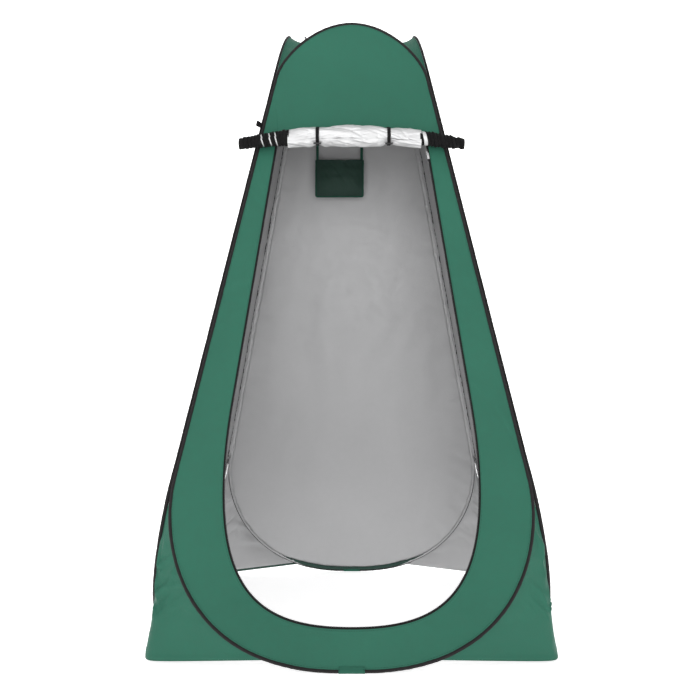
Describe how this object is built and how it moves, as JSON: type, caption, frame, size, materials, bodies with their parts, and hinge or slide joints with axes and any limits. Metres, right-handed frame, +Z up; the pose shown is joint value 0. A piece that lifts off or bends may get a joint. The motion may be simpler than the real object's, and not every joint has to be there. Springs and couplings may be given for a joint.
{
  "type": "privacy shower tent",
  "caption": "Free-standing pop-up privacy tent: leaning walls on sprung oval hoops, open floor, roofed top, a door rolled up and tied above its opening, and a hanging pocket inside.",
  "frame": {"origin": "on the ground under the middle of the tent", "axes": "+Z up, the door faces -Y, +X to the right of someone who faces the door"},
  "size_m": [1.1782, 1.2642, 1.9499],
  "materials": {
    "green_cloth": "plain-weave polyester, silver-grey coating on its inner face",
    "dark_green_cloth": "plain-weave polyester with a green bound edge",
    "black_sleeve": "binding tape folded over the wire and stitched",
    "black_webbing": "woven polypropylene tape",
    "black_zip": "woven zip tape with a nylon coil",
    "silver_coating": "silver-coated inner face of the cloth, creased",
    "spring_steel": "drawn spring wire",
    "zip_metal": "plated die-cast metal",
    "black_plastic": "moulded peg"
  },
  "bodies": {
    "front_wall": {"front_hoop_wire": "spring_steel", "front_wire_crimp": "spring_steel", "front_hoop_sleeve": "black_sleeve", "front_crimp_cover": "green_cloth", "front_panel": "green_cloth", "front_right_gusset": "green_cloth", "front_left_gusset": "green_cloth", "roof_front_right": "green_cloth", "edge_loop": "black_webbing", "door_zip_tape": "black_zip", "zip_stop_right": "zip_metal", "zip_stop_left": "zip_metal"},
    "left_wall": {"left_hoop_wire": "spring_steel", "left_wire_crimp": "spring_steel", "left_hoop_sleeve": "black_sleeve", "left_crimp_cover": "green_cloth", "left_panel": "green_cloth", "back_left_gusset": "green_cloth", "roof_back_left": "green_cloth", "roof_loop": "black_webbing"},
    "right_wall": {"right_hoop_wire": "spring_steel", "right_wire_crimp": "spring_steel", "right_hoop_sleeve": "black_sleeve", "right_crimp_cover": "green_cloth", "right_panel": "green_cloth", "back_right_gusset": "green_cloth"},
    "back_wall": {"back_hoop_wire": "spring_steel", "back_wire_crimp": "spring_steel", "back_hoop_sleeve": "black_sleeve", "back_crimp_cover": "green_cloth", "back_panel": "green_cloth"},
    "door_roll": {"door_roll": "silver_coating", "wound_zip_left": "black_zip", "wound_zip_right": "black_zip", "door_head_flap": "silver_coating", "tie_strap_left": "black_webbing", "tie_strap_right": "black_webbing", "tie_loop_left": "black_webbing", "tie_loop_right": "black_webbing"},
    "toggle_left": {"toggle_left": "black_plastic"},
    "toggle_right": {"toggle_right": "black_plastic"},
    "zip_slider": {"zip_slider": "zip_metal"},
    "pull_tab_outer": {"pull_tab_outer": "zip_metal"},
    "pull_tab_inner": {"pull_tab_inner": "zip_metal"},
    "pocket": {"pocket_back": "dark_green_cloth", "pocket_front": "dark_green_cloth", "pocket_hem": "dark_green_cloth", "pocket_binding": "dark_green_cloth", "pocket_tape_left": "dark_green_cloth", "pocket_tape_right": "dark_green_cloth"}
  },
  "joints": [
    {"name": "fold_left", "type": "hinge", "parent": "front_wall", "child": "left_wall", "pos_m": [-0.3823, -0.3823, 1], "axis": [-0.1912, -0.1912, -0.9627], "range_deg": [0, 45], "stiffness_Nm_per_rad": 3, "springref_deg": -28.65, "deforming": ["front_left_gusset", "roof_back_left", "back_right_gusset"]},
    {"name": "fold_right", "type": "hinge", "parent": "front_wall", "child": "right_wall", "pos_m": [0.3823, -0.3823, 1], "axis": [0.1912, -0.1912, -0.9627], "range_deg": [0, 45], "deforming": ["front_right_gusset", "roof_front_right"]},
    {"name": "fold_back", "type": "hinge", "parent": "left_wall", "child": "back_wall", "pos_m": [-0.3823, 0.3823, 1], "axis": [0.1912, -0.1912, 0.9627], "range_deg": [0, 45], "deforming": ["back_left_gusset"]},
    {"name": "door_roll_swing", "type": "hinge", "parent": "front_wall", "child": "door_roll", "pos_m": [0, -0.2835, 1.533], "axis": [-1, 0, 0], "range_deg": [0, 40]},
    {"name": "toggle_left_turn", "type": "hinge", "parent": "door_roll", "child": "toggle_left", "pos_m": [-0.104, -0.33123, 1.46471], "axis": [0, -0.4695, -0.8829], "range_deg": [-90, 90]},
    {"name": "toggle_right_turn", "type": "hinge", "parent": "door_roll", "child": "toggle_right", "pos_m": [0.113, -0.33131, 1.4644], "axis": [0, -0.4695, -0.8829], "range_deg": [-90, 90]},
    {"name": "door_zip_slide", "type": "slide", "parent": "front_wall", "child": "zip_slider", "axis": [0.1262, -0.1932, -0.973], "range_m": [0, 0.72]},
    {"name": "pull_tab_outer_turn", "type": "hinge", "parent": "zip_slider", "child": "pull_tab_outer", "pos_m": [0.23147, -0.30274, 1.44898], "axis": [-0.992, -0.0246, -0.1238], "range_deg": [0, 75]},
    {"name": "pull_tab_inner_turn", "type": "hinge", "parent": "zip_slider", "child": "pull_tab_inner", "pos_m": [0.23147, -0.29214, 1.44688], "axis": [0.992, 0.0246, 0.1238], "range_deg": [-8, 140]},
    {"name": "pocket_swing", "type": "hinge", "parent": "back_wall", "child": "pocket", "pos_m": [0, 0.231, 1.785], "axis": [-1, 0, 0], "range_deg": [-8, 25]}
  ],
  "couplings": [
    {"joint": "fold_right", "follows": "fold_left", "ratio": 0.99},
    {"joint": "fold_back", "follows": "fold_left", "ratio": 0.99}
  ]
}
